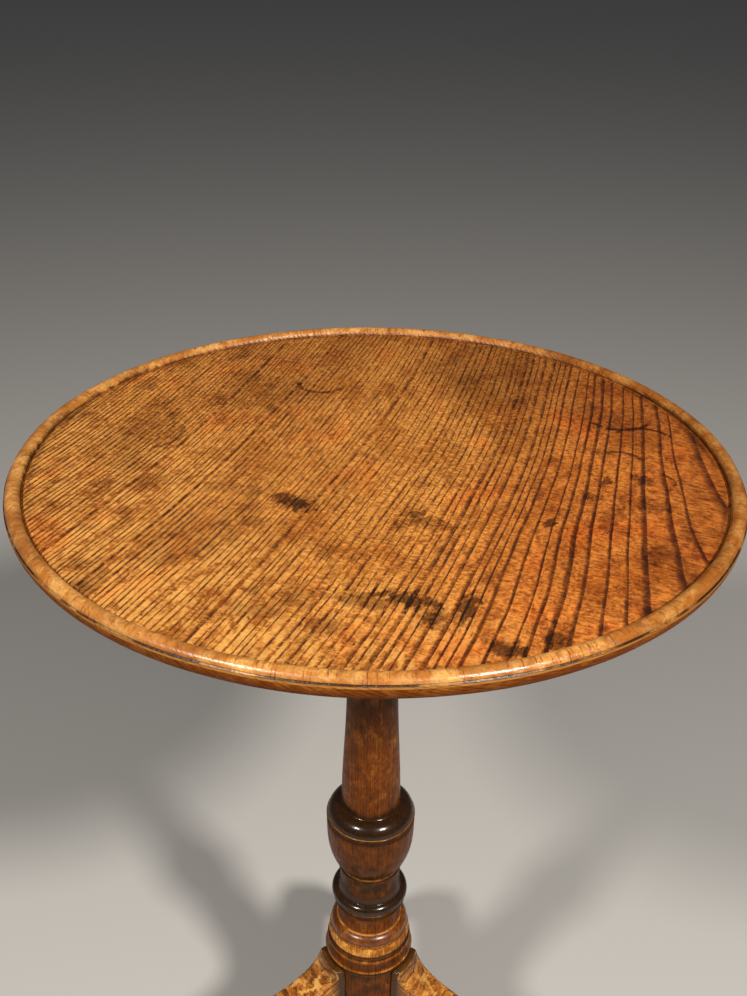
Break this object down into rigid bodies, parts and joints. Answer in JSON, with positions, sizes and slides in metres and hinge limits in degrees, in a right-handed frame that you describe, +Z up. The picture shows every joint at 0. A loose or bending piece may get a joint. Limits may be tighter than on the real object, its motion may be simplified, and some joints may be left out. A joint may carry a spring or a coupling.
{
  "type": "tilt top table",
  "caption": "Small round table: a dished oak top that tilts on a block, a turned column and a tripod of curved legs on pad feet.",
  "frame": {"origin": "on the floor, on the axis of the column, which is also the centre of the top", "axes": "+Z up; the hinge line of the top runs along X; the top tips so that its face turns towards -Y; one leg points to +Y"},
  "size_m": [0.4999, 0.5, 0.7],
  "materials": {
    "oak_top": "waxed honey-brown oak with dark open grain",
    "oak_column": "waxed dark oak, near black and glossy in the hollows",
    "oak_legs": "waxed oak, worn paler on the upper edges",
    "oak_under": "dry unpolished old oak",
    "iron": "hand-forged, dark and rust-browned",
    "brass": "aged and tarnished"
  },
  "bodies": {
    "stand": {"column": "oak_column", "leg_front_right": "oak_legs", "leg_back": "oak_legs", "leg_front_left": "oak_legs", "block": "oak_under", "tenon_wedge": "oak_under", "leg_strap": "iron", "strap_nails": "iron", "keeper_plate": "brass", "keeper_screws": "brass"},
    "tilting_top": {"top": "oak_top", "bearer_right": "oak_under", "bearer_left": "oak_under", "bearer_screws_right": "iron", "bearer_screws_left": "iron", "catch_plate": "brass", "catch_case": "brass", "catch_screws": "brass"},
    "bolt": {"catch_bolt": "brass", "catch_leaf": "brass", "catch_knob": "brass"}
  },
  "joints": [
    {"name": "top_tilt", "type": "hinge", "parent": "stand", "child": "tilting_top", "pos_m": [0, -0.063, 0.6677], "axis": [1, 0, 0], "range_deg": [0, 90]},
    {"name": "catch_slide", "type": "slide", "parent": "tilting_top", "child": "bolt", "axis": [0, -1, 0], "range_m": [0, 0.009]}
  ]
}
